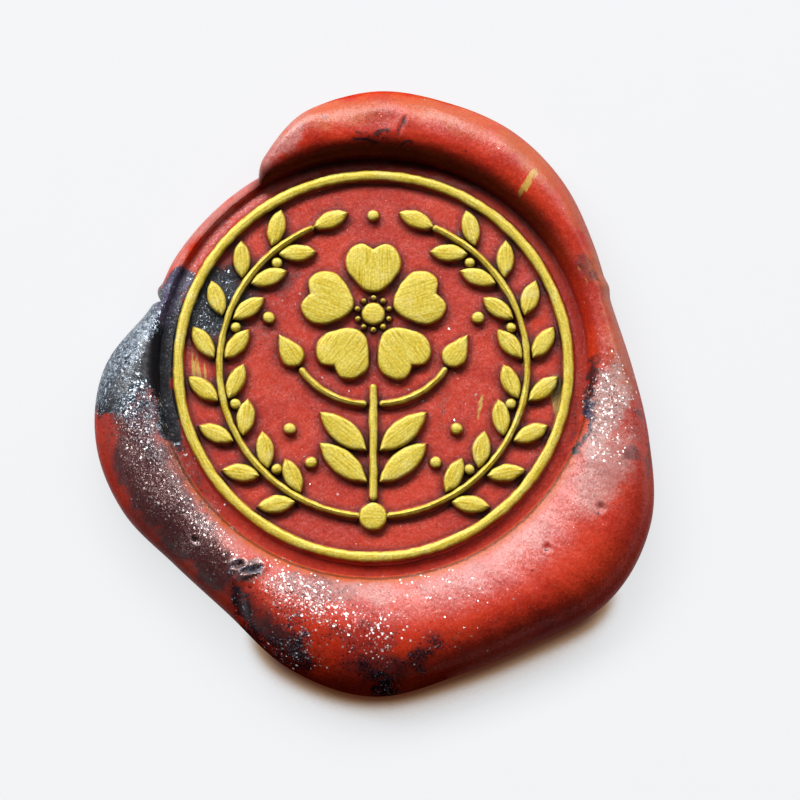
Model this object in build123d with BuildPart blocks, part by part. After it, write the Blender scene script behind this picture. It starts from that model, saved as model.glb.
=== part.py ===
import os
from math import atan2, cos, degrees, pi, radians, sin, sqrt, tan

from build123d import *

# A seal of sealing wax as it lies on paper. +Z is up, and the origin is on the flat back,
# under the middle of the round face that the stamp pressed. Lengths are in millimetres.
os.makedirs("parts", exist_ok=True)

# Print of the stamp: its wall stands a little outside the stamp's head
print_diameter = 25.6
floor_thickness = 1.8
relief_height = 0.42
paint_thickness = 0.08

# Rim of squeezed-out wax, clockwise from the nose of the folded lip to the thin rim that ends under it.
# At each direction, in degrees from +X: its width beyond the wall, and its crest and wall above the face.
rim_directions = [122, 117, *range(105, -226, -15), -243]
rim_widths = [
    *(0.85, 1.65, 3.4, 4.3, 4.2, 4.05, 3.4, 2.5, 2.05, 2.8, 4.35, 6.4, 7.3),
    *(6.55, 6.55, 7.35, 6.2, 4.55, 4.1, 4.55, 4.4, 3.35, 1.15, 0.95, 0.85, 0.85),
]
rim_crests = [
    *(1.1, 1.5, 1.8, 1.85, 1.85, 1.8, 1.7, 1.5, 1.35, 1.4, 1.5, 1.6, 1.65),
    *(1.65, 1.6, 1.6, 1.55, 1.5, 1.55, 1.65, 1.7, 1.5, 0.75, 0.45, 0.4, 0.4),
]
rim_walls = [
    *(0.6, 0.75, 0.8, 0.8, 0.8, 0.8, 0.8, 0.75, 0.7, 0.65, 0.6, 0.6, 0.6),
    *(0.6, 0.6, 0.6, 0.6, 0.6, 0.65, 0.7, 0.8, 0.75, 0.4, 0.2, 0.18, 0.18),
]
slice_step = 5.0
slices_per_loft = 18
belly_height = 1.0
foot_tuck = 0.35
wall_lean = 0.1
wall_lean_share = 0.15
wall_overlap = 1.0

# Slice of the rim: where the crest lies across the width, how round the slope inside it is,
# and how straight the flank outside it is. Each is a middle value and its change towards +X and towards +Y.
crest_share = (0.45, 0.12, -0.11)
slope_power = (2.15, 0.0, 0.45)
flank_power = (1.0, 0.0, -0.12)

# Pools of dark glitter wax: the points round each outline, by direction and by distance outside the wall
left_lobe_directions = [151, 150, 150, 160, 168, 177, 195, 203, 192, 188, 168]
left_lobe_distances = [1.5, -1.3, -3.9, -4.7, -2.9, -1.6, -1.2, 0.3, 1.6, 4.9, 4.9]
lower_streak_directions = [214, 226, 240, 252, 264, 262, 248, 232, 218]
lower_streak_distances = [1.9, 1.7, 2.7, 3.9, 4.7, 6.1, 4.9, 3.3, 3.3]
right_patch_directions = [356, 364, 362, 352, 344, 346]
right_patch_distances = [0.3, 0.9, 1.8, 2.6, 2.1, 0.6]
streak_floor = 1.2

# Ornament: its border ring, and the bare margins round its raised shapes
ring_inset = 0.8
ring_width = 0.65
ornament_gap = 0.3
paint_gap = 0.12

# Leafy branches, one up each side from the knot at the foot of the ring
branch_width = 0.42
branch_tip_turn = 156.0
leaf_length = 2.3
leaf_width = 1.1
leaf_angle = 36.0
leaf_spacing = 0.25
berry_radius = 0.32
pairs_per_berry = 2
knot_radius = 0.85

# Flower in the middle
petal_count = 5
petal_reach = 4.3
petal_shoulder = 2.5
petal_lobe = 0.9
petal_notch = 0.3
petal_gap = 0.5
flower_disc_radius = 0.7
stamen_count = 10
stamen_radius = 0.17

# Its stem, with leaves and buds: leaf heights are above the knot, leaf angles are from the stem,
# and the stalks of the buds leave the stem below the petals
stem_width = 0.5
stem_leaf_length = 3.7
stem_leaf_width = 1.5
stem_leaf_angle = 50.0
stem_leaf_heights = (1.1, 3.0)
stalk_width = 0.42
stalk_drop = 1.2
stalk_reach = 4.0
stalk_rise = 2.2
bud_length = 2.3
bud_width = 1.5

# Loose dots on the right half and their mirror images: how far they lie inside the tips of the inner leaves
pellet_radius = 0.36
pellet_directions = [25, -38, -58]
pellet_insets = [0.85, 1.45, 0.75]

print_radius = print_diameter / 2
ring_inner_radius = print_radius - ring_inset - ring_width
relief_top = floor_thickness + relief_height
press_depth = max(rim_crests) + relief_height
pool_height = floor_thickness + press_depth
lip_nose = rim_directions[0]
slice_count = int((lip_nose - rim_directions[-1]) / slice_step)


def polar_point(direction, distance):
    return (distance * cos(radians(direction)), distance * sin(radians(direction)))


def between_stations(values, direction):
    # Value of the rim at a direction: a smooth cubic between the stations on either side
    last = len(rim_directions) - 1
    place = next(i for i in range(last) if direction >= rim_directions[i + 1])
    nearby = [min(max(i, 0), last) for i in range(place - 1, place + 3)]
    at_before, at_start, at_end, at_after = (rim_directions[i] for i in nearby)
    before, start, end, after = (values[i] for i in nearby)
    span = at_end - at_start
    share = (direction - at_start) / span
    leaving = (end - before) / (at_end - at_before) * span
    arriving = (after - start) / (at_after - at_start) * span
    rise = end - start
    return (
        start
        + share * leaving
        + share**2 * (3 * rise - 2 * leaving - arriving)
        + share**3 * (leaving + arriving - 2 * rise)
    )


def facing(values, direction):
    # Value of the rim's slice at a direction, from its middle value and its changes
    middle, towards_x, towards_y = values
    return middle + towards_x * cos(radians(direction)) + towards_y * sin(radians(direction))


def rim_section(direction):
    # One upright slice of the rim: local X runs outwards from the middle and local Y is up
    width = between_stations(rim_widths, direction)
    crest = between_stations(rim_crests, direction)
    wall = between_stations(rim_walls, direction)
    outwards = Vector(*polar_point(direction, 1.0))
    slice_plane = Plane(origin=(0, 0, 0), x_dir=outwards, z_dir=outwards.cross(Vector(0, 0, 1)))
    core_radius = print_radius - wall_overlap
    with BuildSketch(slice_plane) as section:
        with BuildLine():
            foot = Vector(print_radius + width - min(foot_tuck, width / 3), 0)
            belly = Vector(print_radius + width, belly_height)
            top = Vector(print_radius + facing(crest_share, direction) * width, floor_thickness + crest)
            brink = Vector(print_radius + min(wall_lean, wall_lean_share * width), floor_thickness + wall)
            bulge = sin(pi / 4) ** facing(flank_power, direction)
            shoulder = Vector(top.X, belly.Y) + Vector(belly.X - top.X, top.Y - belly.Y) * bulge
            rise = 1 - 0.5 ** facing(slope_power, direction)
            slope = Vector((brink.X + top.X) / 2, brink.Y + (top.Y - brink.Y) * rise)
            Spline(foot, belly, shoulder, top, slope, brink)
            Polyline(brink, (core_radius, brink.Y), (core_radius, 0), foot)
        make_face()
    return section.sketch


def wax_pool(directions, distances):
    # Plan of a pool of dark wax, as a closed smooth outline
    points = [polar_point(a, print_radius + beyond) for a, beyond in zip(directions, distances)]
    with BuildSketch() as pool:
        with BuildLine():
            Spline(*points, periodic=True)
        make_face()
    return pool.sketch


def leaf_shape(length, width):
    # Pointed leaf of two arcs, its stalk end at the origin and its tip along +X
    with BuildSketch() as leaf:
        with BuildLine():
            ThreePointArc((0, 0), (length / 2, width / 2), (length, 0))
            mirror(about=Plane.XZ)
        make_face()
    return leaf.sketch


def petal_shape():
    # Petal with its narrow base towards the flower's middle, at the origin, and its notched tip along +X.
    # Up to the shoulder its side runs along the gap to the next petal.
    spread = pi / petal_count
    base = flower_disc_radius + 2 * stamen_radius + 2 * paint_gap
    shoulder = (petal_shoulder, petal_shoulder * tan(spread) - petal_gap / 2 / cos(spread))
    side = (cos(spread), sin(spread))
    with BuildSketch() as petal:
        with BuildLine():
            Spline((base, 0), shoulder, tangents=[(0, 1), side])
            Spline(
                shoulder,
                (petal_reach, petal_lobe),
                (petal_reach - petal_notch, 0),
                tangents=[side, (-1, -2)],
            )
            mirror(about=Plane.XZ)
        make_face()
    return petal.sketch


def bud_shape():
    # Bud with its round end at the origin and its point along +X
    with BuildSketch() as bud:
        with BuildLine():
            Spline((0, 0), (bud_width / 2, bud_width / 2), (bud_length, 0), tangents=[(0, 1), (1, -0.5)])
            mirror(about=Plane.XZ)
        make_face()
    return bud.sketch


def behind(outline, *fronts):
    # What is left of an outline behind others, with a bare margin round each of them
    with BuildSketch() as clear:
        add(outline)
        for front in fronts:
            offset(front.faces(), amount=paint_gap, mode=Mode.SUBTRACT)
    return clear.sketch


def both_sides(outline):
    # A shape of the right half together with its mirror image
    with BuildSketch() as pair:
        add(outline)
        mirror(outline, about=Plane.YZ)
    return pair.sketch


# Wreath: the tips of the outer leaves stay ornament_gap inside the ring
leaf_rise = leaf_length * sin(radians(leaf_angle))
leaf_run = leaf_length * cos(radians(leaf_angle))
leaf_root = branch_width / 2 + paint_gap
branch_radius = sqrt((ring_inner_radius - ornament_gap) ** 2 - leaf_run**2) - leaf_rise - leaf_root
field_radius = sqrt((branch_radius - leaf_root - leaf_rise) ** 2 + leaf_run**2)
knot_turn = degrees((knot_radius + paint_gap) / branch_radius)
leaf_pitch = degrees((leaf_length + leaf_spacing) / branch_radius)
leaf_pairs = int((branch_tip_turn - knot_turn - leaf_pitch / 2) // leaf_pitch)
leaf_turns = [branch_tip_turn - leaf_pitch * (pair + 1) for pair in range(leaf_pairs)]
tip_leaf_turn = branch_tip_turn + degrees(paint_gap / branch_radius)
berry_lag = degrees((berry_radius + paint_gap) / branch_radius)


def branch_point(turn, beyond=0.0):
    # Point of the right-hand branch, turn degrees round from the foot of the ring
    return polar_point(turn - 90, branch_radius + beyond)


with BuildSketch() as border_ring:
    Circle(ring_inner_radius + ring_width)
    Circle(ring_inner_radius, mode=Mode.SUBTRACT)

with BuildSketch() as knot:
    with Locations(branch_point(0)):
        Circle(knot_radius)

with BuildSketch() as branch:
    with BuildLine():
        CenterArc((0, 0), branch_radius, knot_turn - 90, branch_tip_turn - knot_turn)
    trace(line_width=branch_width)

with BuildSketch() as leaves:
    for turn in leaf_turns:
        for side in (1, -1):
            with Locations(Location((*branch_point(turn, side * leaf_root), 0), turn - side * leaf_angle)):
                add(leaf_shape(leaf_length, leaf_width))
    with Locations(Location((*branch_point(tip_leaf_turn), 0), branch_tip_turn)):
        add(leaf_shape(leaf_length, leaf_width))

berry_turns = [turn - berry_lag for turn in leaf_turns[::pairs_per_berry]]
with BuildSketch() as berries:
    with Locations(*[branch_point(turn, -leaf_root - berry_radius) for turn in berry_turns]):
        Circle(berry_radius)

# Flower: its top petal stays ornament_gap below the tips of the inner leaves
flower_middle = (0, field_radius - ornament_gap - petal_reach)
stamen_circle = flower_disc_radius + paint_gap + stamen_radius

with BuildSketch() as petals:
    with Locations(flower_middle):
        with PolarLocations(0, petal_count, start_angle=90):
            add(petal_shape())

with BuildSketch() as flower_centre:
    with Locations(flower_middle):
        Circle(flower_disc_radius)
        with PolarLocations(stamen_circle, stamen_count, start_angle=90):
            Circle(stamen_radius)

# Stem: it stands on the knot and goes up behind the two lower petals
stem_foot = -branch_radius + knot_radius + paint_gap
stem_top = flower_middle[1] - petal_reach
stem_side = stem_width / 2 + paint_gap
stalk_foot = (stem_side, stem_top - stalk_drop)
stalk_tip = (stem_side + stalk_reach, stem_top - stalk_drop + stalk_rise)
bud_heading = degrees(2 * atan2(stalk_rise, stalk_reach))
bud_step = polar_point(bud_heading, paint_gap)

with BuildSketch() as stem_line:
    with BuildLine():
        Line((0, stem_foot), (0, stem_top))
    trace(line_width=stem_width)
stem = behind(stem_line.sketch, petals.sketch)

with BuildSketch() as stalk:
    with BuildLine():
        TangentArc(stalk_foot, stalk_tip, tangent=(1, 0))
    trace(line_width=stalk_width)

with BuildSketch() as bud:
    with Locations(Location((stalk_tip[0] + bud_step[0], stalk_tip[1] + bud_step[1], 0), bud_heading)):
        add(bud_shape())

with BuildSketch() as stem_leaf_pair:
    for height in stem_leaf_heights:
        with Locations(Location((stem_side, stem_foot + height, 0), 90 - stem_leaf_angle)):
            add(leaf_shape(stem_leaf_length, stem_leaf_width))
stem_leaves = behind(stem_leaf_pair.sketch, stalk.sketch, petals.sketch)

# Loose dots: by hand in the ground, and one where the branches nearly meet
pellet_points = [polar_point(a, field_radius - inset) for a, inset in zip(pellet_directions, pellet_insets)]

with BuildSketch() as ground_dots:
    with Locations(*pellet_points):
        Circle(pellet_radius)

with BuildSketch() as pellets:
    add(both_sides(behind(ground_dots.sketch, bud.sketch, stem_leaves)))
    with Locations((0, branch_radius)):
        Circle(pellet_radius)

with BuildSketch() as left_branch:
    mirror(branch.sketch, about=Plane.YZ)

with BuildSketch() as left_leaves:
    mirror(leaves.sketch, about=Plane.YZ)

ornament = {
    "gold_border_ring": border_ring.sketch,
    "gold_knot": knot.sketch,
    "gold_right_branch": branch.sketch,
    "gold_left_branch": left_branch.sketch,
    "gold_right_leaves": leaves.sketch,
    "gold_left_leaves": left_leaves.sketch,
    "gold_berries": both_sides(berries.sketch),
    "gold_flower_petals": petals.sketch,
    "gold_flower_centre": flower_centre.sketch,
    "gold_flower_stem": stem,
    "gold_stem_leaves": both_sides(stem_leaves),
    "gold_buds": both_sides(bud.sketch),
    "gold_bud_stalks": both_sides(stalk.sketch),
    "gold_pellets": pellets.sketch,
}

with BuildPart() as wax_pour:
    with BuildSketch():
        Circle(print_radius)
    extrude(amount=floor_thickness)
    for first in range(0, slice_count, slices_per_loft):
        last = min(first + slices_per_loft, slice_count)
        loft([rim_section(lip_nose - slice_step * i) for i in range(first, last + 1)])
    with BuildSketch(Plane.XY.offset(floor_thickness)):
        Circle(print_radius)
    extrude(amount=press_depth, mode=Mode.SUBTRACT)
    with BuildSketch(Plane.XY.offset(floor_thickness)):
        for outline in ornament.values():
            add(outline)
    extrude(amount=relief_height)

# Dark wax: the lobe goes right through, and the streak and the patch lie in the top of the rim
dark_pools = {
    "dark_wax_left_lobe": (wax_pool(left_lobe_directions, left_lobe_distances), 0.0),
    "dark_wax_lower_streak": (wax_pool(lower_streak_directions, lower_streak_distances), streak_floor),
    "dark_wax_right_patch": (wax_pool(right_patch_directions, right_patch_distances), streak_floor),
}
for name, (plan, bottom) in dark_pools.items():
    with BuildPart() as dark_wax:
        with BuildSketch(Plane.XY.offset(bottom)):
            add(plan)
        extrude(amount=pool_height - bottom)
        add(wax_pour.part, mode=Mode.INTERSECT)
    dark_wax.part.label = name
    export_step(dark_wax.part, f"parts/{name}.step")

with BuildPart() as red_wax:
    add(wax_pour.part)
    for plan, bottom in dark_pools.values():
        with BuildSketch(Plane.XY.offset(bottom)):
            add(plan)
        extrude(amount=pool_height - bottom, mode=Mode.SUBTRACT)
red_wax.part.label = "red_wax"
export_step(red_wax.part, "parts/red_wax.step")

for name, outline in ornament.items():
    with BuildPart() as gold_paint:
        with BuildSketch(Plane.XY.offset(relief_top)):
            add(outline)
        extrude(amount=paint_thickness)
    gold_paint.part.label = name
    export_step(gold_paint.part, f"parts/{name}.step")
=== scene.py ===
import math
import bmesh
import bpy
import numpy as np
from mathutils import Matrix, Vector


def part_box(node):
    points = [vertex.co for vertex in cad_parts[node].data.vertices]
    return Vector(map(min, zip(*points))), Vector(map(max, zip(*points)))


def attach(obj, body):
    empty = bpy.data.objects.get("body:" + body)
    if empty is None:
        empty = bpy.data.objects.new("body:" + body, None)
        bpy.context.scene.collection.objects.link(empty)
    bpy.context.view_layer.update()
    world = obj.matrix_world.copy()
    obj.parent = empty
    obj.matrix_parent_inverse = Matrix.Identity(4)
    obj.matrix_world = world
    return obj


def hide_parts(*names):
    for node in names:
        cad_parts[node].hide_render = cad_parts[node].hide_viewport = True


# Wax seal: red sealing wax marbled with dark glitter wax, its pressed ornament painted gold.
# Sizes are in millimetres until a mesh is made.
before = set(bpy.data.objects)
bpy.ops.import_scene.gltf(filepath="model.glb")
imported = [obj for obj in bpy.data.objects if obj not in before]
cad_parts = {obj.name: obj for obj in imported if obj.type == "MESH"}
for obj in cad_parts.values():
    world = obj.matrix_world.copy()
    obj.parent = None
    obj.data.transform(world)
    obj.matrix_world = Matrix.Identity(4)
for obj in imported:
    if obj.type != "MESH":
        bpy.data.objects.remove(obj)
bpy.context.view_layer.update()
mm = 0.001
weldReach = 1e-7                        # points closer than this, in metres, become one

# levels that the pieces share; the ring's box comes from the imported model
ringLow, ringHigh = (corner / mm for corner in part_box("gold_border_ring"))
reliefHeight = 0.42
levels = {
    "relief": reliefHeight,             # the raised shapes above the pressed face
    "face": ringLow.z - reliefHeight,   # the pressed face above the paper
    "ringOuter": ringHigh.x,
    "wall": 12.8,                       # radius of the wall round the print
    "core": 11.2,                       # the rim and the face meet here, out of sight
}


def smooth(value, low, high):
    # 0 at low, 1 at high and beyond, an S curve between them; low may be the larger
    share = np.clip((value - low) / (high - low), 0.0, 1.0)
    return share * share * (3.0 - 2.0 * share)


def wander(x, y, grain, seed):
    # eight sine waves of about one wavelength in random directions, added up: roughly -1 to 1
    waves, slowest, fastest = 8, 0.65, 1.5
    rng = np.random.default_rng(seed)
    turn, phase = rng.uniform(0.0, 2.0 * math.pi, (2, waves))
    pace = 2.0 * math.pi / grain * rng.uniform(slowest, fastest, waves)
    across = np.multiply.outer(x, np.cos(turn)) + np.multiply.outer(y, np.sin(turn))
    return np.sin(across * pace + phase).sum(-1) / (waves / 2)


def gridQuads(rows, columns, wrapRows=False, wrapColumns=False, first=0):
    # corner numbers of the squares of a grid whose points are numbered row by row
    r = np.arange(rows if wrapRows else rows - 1)[:, None]
    c = np.arange(columns if wrapColumns else columns - 1)[None, :]
    r1, c1 = (r + 1) % rows, (c + 1) % columns
    corners = (r * columns + c, r1 * columns + c, r1 * columns + c1, r * columns + c1)
    return np.stack([k + first for k in corners], -1).reshape(-1, 4)


def putPiece(name, points, faces, uv=None, weld=False, fields=None):
    # one mesh object at the origin, faces turned outwards; points in millimetres, fields one value a point
    mesh = bpy.data.meshes.new(name)
    mesh.from_pydata((points * mm).tolist(), [], faces)
    if uv is not None:
        corner = np.empty(len(mesh.loops), np.int32)
        mesh.loops.foreach_get("vertex_index", corner)
        mesh.uv_layers.new(name="stroke").data.foreach_set("uv", uv[corner].ravel().astype(np.float32))
    for fieldName, values in (fields or {}).items():
        mesh.attributes.new(fieldName, "FLOAT", "POINT").data.foreach_set("value", values.astype(np.float32))
    work = bmesh.new()
    work.from_mesh(mesh)
    if weld:
        bmesh.ops.remove_doubles(work, verts=work.verts, dist=weldReach)
    bmesh.ops.recalc_face_normals(work, faces=work.faces)
    work.to_mesh(mesh)
    work.free()
    mesh.polygons.foreach_set("use_smooth", np.ones(len(mesh.polygons), bool))
    piece = bpy.data.objects.new(name, mesh)
    bpy.context.scene.collection.objects.link(piece)
    print("made", name, len(mesh.vertices), "points")
    return piece


# Marbling: soft ovals, listed as middle x, y, half length, half width, turn in degrees, strength
marbles = {
    # blue-black wax
    "dark": [
        (-14.2, 1.0, 4.3, 2.0, 62, 1.3),
        (-12.3, 3.2, 2.4, 0.9, 75, 1.0),
        (-12.6, 0.0, 2.4, 0.9, 90, 1.0),
        (-12.2, -3.2, 1.9, 0.7, 105, 1.0),
        (-11.9, 5.0, 1.3, 0.8, 66, 0.85),
        (-9.5, 3.8, 2.2, 1.7, 55, 1.0),
        (-7.8, -14.5, 1.2, 0.42, 100, 0.9),
        (-7.1, -16.1, 1.0, 0.4, -50, 0.75),
        (-5.7, -17.3, 1.3, 0.4, -38, 0.62),
        (-4.2, -17.6, 1.15, 0.75, -70, 0.85),
        (-4.7, -15.6, 0.5, 0.35, 40, 0.5),
        (-0.6, -18.2, 0.8, 0.5, 70, 0.6),
        (0.6, -19.4, 1.0, 0.55, -20, 0.75),
        (3.1, -17.6, 1.7, 0.45, 30, 0.58),
        (12.95, -2.8, 1.7, 0.22, 80, 0.66),
        (12.2, -5.0, 0.8, 0.2, 64, 0.7),
        (-13.3, 0.8, 1.9, 0.7, 84, 1.0),
        (-14.0, -2.3, 1.7, 1.3, -78, 0.46),
        (-13.3, -4.6, 2.0, 1.0, -74, 0.3),
        (-0.5, 13.4, 0.6, 0.1, 6, 0.5),
        (-7.95, -12.3, 0.32, 0.14, 25, 1.1),
        (-7.15, -12.62, 0.55, 0.12, 22, 1.1),
        (-8.2, -12.7, 0.14, 0.3, 0, 0.8),
        (10.3, -11.3, 0.16, 0.16, 0, 0.9),
        (13.5, -8.9, 0.16, 0.2, 0, 0.9),
    ],
    # plum brown, where dark and red wax have run together; on the lower-left flank it is also painted shade
    "plumAndShade": [
        (-14.1, -3.2, 2.4, 1.5, -78, 0.8),
        (-13.9, -6.2, 2.4, 1.7, -66, 0.95),
        (-12.5, -8.5, 2.4, 1.8, -56, 1.05),
        (-11.0, -10.6, 2.2, 1.6, -46, 1.05),
        (-9.5, -12.4, 1.6, 1.4, -40, 0.95),
        (-10.4, -10.9, 0.6, 0.4, -50, 1.3),
        (-9.4, -12.6, 0.7, 0.4, -70, 1.3),
        (-3.6, -13.6, 2.6, 0.9, -14, 0.46),
        (-16.2, -4.4, 3.0, 0.9, -78, 0.38),
        (-0.8, -16.6, 2.6, 1.0, -4, 0.45),
        (-9.3, 3.9, 2.7, 2.1, 55, 0.8),
        (-7.5, -12.6, 0.9, 0.6, 10, 0.75),
        (-7.8, -14.6, 1.6, 0.9, -60, 0.6),
        (-5.8, -16.8, 2.6, 1.2, -40, 0.85),
        (0.2, -18.5, 2.2, 1.3, -8, 0.65),
        (2.8, -17.6, 2.0, 0.6, 36, 0.5),
        (16.6, -4.2, 2.8, 0.32, 84, 0.8),
        (13.1, -1.2, 1.4, 0.2, 88, 0.9),
        (12.75, -3.8, 1.6, 0.22, 72, 0.9),
        (15.9, -3.0, 0.7, 0.25, 0, 0.55),
        (15.4, -5.6, 0.7, 0.4, -20, 0.55),
        (12.7, 6.0, 0.9, 0.5, -65, 0.55),
        (0.3, 14.8, 1.0, 0.5, 5, 0.3),
        (-0.4, 13.4, 0.8, 0.14, 6, 0.95),
        (-1.1, 14.0, 0.3, 0.11, -40, 0.8),
        (0.5, 14.1, 0.55, 0.14, 25, 0.85),
        (1.75, 14.4, 0.6, 0.11, 70, 0.75),
        (2.1, 13.3, 0.4, 0.11, 15, 0.8),
        (1.3, 16.2, 0.4, 0.14, 0, 0.4),
        (-2.9, 15.0, 0.2, 0.16, 0, 0.55),
        (0.4, 13.9, 1.7, 0.7, 5, 0.28),
        (-10.75, -6.2, 1.9, 0.34, -60, 0.42),
        (12.0, -3.3, 1.7, 0.3, 74, 0.36),
        (-5.1, 5.2, 1.0, 0.6, 40, 0.45),
        (1.9, 4.1, 1.5, 0.8, -40, 0.5),
        (-6.2, 1.6, 1.6, 0.8, -60, 0.35),
        (-2.4, 9.3, 1.8, 0.6, -15, 0.3),
        (4.0, -2.6, 1.8, 0.6, 80, 0.3),
    ],
    # pale haze of the finest mica, and painted sheen on slopes, nose and ledge
    "micaHazeAndSheen": [
        (13.9, -3.0, 3.4, 1.0, 76, 1.1),
        (13.7, -6.6, 3.2, 1.6, 62, 0.68),
        (-12.3, -5.6, 2.4, 0.8, -66, 0.4),
        (-10.9, -8.1, 2.2, 0.8, -54, 0.4),
        (-9.2, -10.2, 2.0, 0.8, -44, 0.5),
        (-7.5, -12.5, 0.9, 0.65, -10, 0.9),
        (-5.8, 13.2, 2.8, 0.75, 47, 0.6),
        (-4.4, -13.7, 2.4, 0.9, -16, 0.5),
        (-0.6, -13.9, 2.6, 0.8, -3, 0.6),
        (4.6, -13.3, 3.0, 0.8, 18, 0.42),
        (9.0, -10.8, 3.0, 0.9, 42, 0.42),
        (0.0, 12.3, 3.2, 0.3, 0, 0.45),
        (-4.6, 11.4, 2.6, 0.3, 22, 0.45),
        (4.6, 11.4, 2.6, 0.3, -22, 0.45),
        (-12.1, 4.3, 2.0, 0.8, 70, 0.7),
        (-9.3, 9.3, 3.4, 0.6, 45, 0.6),
        (-11.55, 6.75, 1.6, 0.5, 60, 0.5),
        (14.1, 0.6, 1.6, 0.8, 90, 0.3),
    ],
    # silver flakes
    "glitter": [
        (-15.1, 1.3, 4.2, 1.45, 61, 1.08),
        (-12.0, 4.2, 2.2, 0.9, 70, 0.35),
        (-9.5, 3.6, 2.2, 1.6, 55, 0.42),
        (-7.6, -14.7, 1.4, 0.8, 100, 0.2),
        (-5.6, -17.1, 1.5, 0.7, -38, 0.24),
        (0.6, -19.0, 1.2, 0.7, -20, 0.24),
        (-13.9, -3.5, 2.6, 1.4, -78, 0.9),
        (-12.6, -7.0, 3.2, 1.8, -63, 0.85),
        (-10.4, -10.2, 2.8, 1.5, -48, 0.8),
        (-7.5, -12.5, 0.9, 0.65, 10, 0.9),
        (-4.2, -14.2, 2.5, 1.4, -8, 0.75),
        (1.4, -13.9, 2.0, 0.8, 0, 0.5),
        (-0.6, -16.0, 2.4, 1.6, 0, 0.36),
        (13.8, -2.6, 3.0, 1.1, 76, 0.5),
        (14.9, -3.8, 2.2, 1.1, 78, 0.25),
        (12.8, -6.6, 2.2, 1.2, 60, 0.14),
        (5.0, -15.6, 5.0, 2.4, 10, 0.14),
        (-4.5, -16.6, 1.6, 1.0, -40, 0.35),
        (1.9, 4.1, 1.3, 0.7, -40, 0.3),
        (0.3, 15.0, 1.2, 0.5, 0, 0.14),
    ],
    # big white flakes, their brightness a painted glint
    "glintFlakes": [
        (-5.2, -13.3, 1.9, 1.0, -25, 0.46),
        (-3.3, -14.6, 1.9, 1.1, -30, 0.55),
        (0.4, -16.4, 0.7, 1.3, 10, 0.4),
        (3.2, -13.3, 1.5, 0.7, 8, 0.14),
        (-4.0, -17.2, 1.4, 1.0, -40, 0.2),
        (1.0, -15.4, 6.0, 2.4, 4, 0.035),
        (-7.4, -12.4, 0.8, 0.5, 10, 0.4),
        (13.9, -2.0, 2.2, 0.9, 78, 0.75),
        (14.3, -3.6, 2.6, 1.3, 78, 0.34),
        (-12.9, -5.6, 4.0, 1.6, -66, 0.14),
        (-10.2, -9.8, 3.0, 1.3, -50, 0.14),
        (0.0, 0.0, 9.0, 9.0, 0, 0.005),
    ],
    # orange as painted highlight where light falls strongest on the lip and rim
    "paintedLitWarmth": [
        (-2.6, 15.4, 3.6, 0.9, 6, 0.8),
        (4.0, 15.4, 3.6, 0.9, -16, 0.8),
        (9.3, 12.8, 2.6, 0.8, -45, 0.9),
        (12.2, 9.4, 2.4, 0.6, -64, 0.6),
        (-6.4, 13.6, 1.4, 0.6, 48, 0.8),
        (14.9, 0.6, 2.8, 0.9, 92, 0.7),
        (13.9, 5.2, 2.6, 0.8, 106, 0.9),
    ],
    # stray strokes of gold paint
    "smear": [
        (9.2, 10.95, 1.25, 0.24, 58, 0.82),
        (9.5, 11.05, 1.0, 0.18, 58, 0.72),
        (10.5, 11.0, 0.8, 0.1, -54, 0.6),
        (-10.75, -0.3, 1.5, 0.12, 95, 0.9),
        (-10.4, -0.8, 1.8, 0.15, 97, 0.95),
        (-10.05, -0.6, 1.1, 0.12, 94, 0.8),
        (9.0, 0.3, 0.5, 0.12, 70, 0.7),
        (6.4, -2.4, 1.0, 0.16, 78, 0.8),
        (10.95, -1.7, 1.4, 0.4, 93, 1.0),
        (11.2, 1.4, 0.3, 0.12, 90, 0.6),
        (15.1, -1.3, 0.3, 0.09, -60, 0.7),
        (12.75, 4.9, 0.4, 0.12, 110, 0.6),
        (12.3, 5.7, 0.25, 0.1, 110, 0.6),
    ],
}


# Flow of the wax, which bends the ovals: reach, grain, and the seeds for X and for Y
bends = [(0.3, 2.6, (41, 43)), (0.16, 0.9, (42, 44))]
ovalFade = (1.5, 0.5)                   # in its half sizes, where an oval starts and where it is full


def ovalDistance(x, y, middleX, middleY, halfLength, halfWidth, turn):
    # distance from the oval's middle in its own half length and half width, so that the oval lies at 1
    c, s = math.cos(math.radians(turn)), math.sin(math.radians(turn))
    along = ((x - middleX) * c + (y - middleY) * s) / halfLength
    across = ((y - middleY) * c - (x - middleX) * s) / halfWidth
    return np.hypot(along, across)


def marbling(points):
    # for each field, the strongest of its ovals at each point; only the strokes of paint aren't bent
    x, y = points[:, 0], points[:, 1]
    bent = [
        at + sum(reach * wander(x, y, grain, seeds[axis]) for reach, grain, seeds in bends)
        for axis, at in enumerate((x, y))
    ]
    fields = {"shine": np.ones(len(points)), "foldShade": np.zeros(len(points))}
    for fieldName, ovals in marbles.items():
        at = (x, y) if fieldName == "smear" else bent
        fields[fieldName] = np.zeros(len(points))
        for *oval, strength in ovals:
            spread = strength * smooth(ovalDistance(*at, *oval), *ovalFade)
            fields[fieldName] = np.maximum(fields[fieldName], spread)
    return fields


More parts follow.
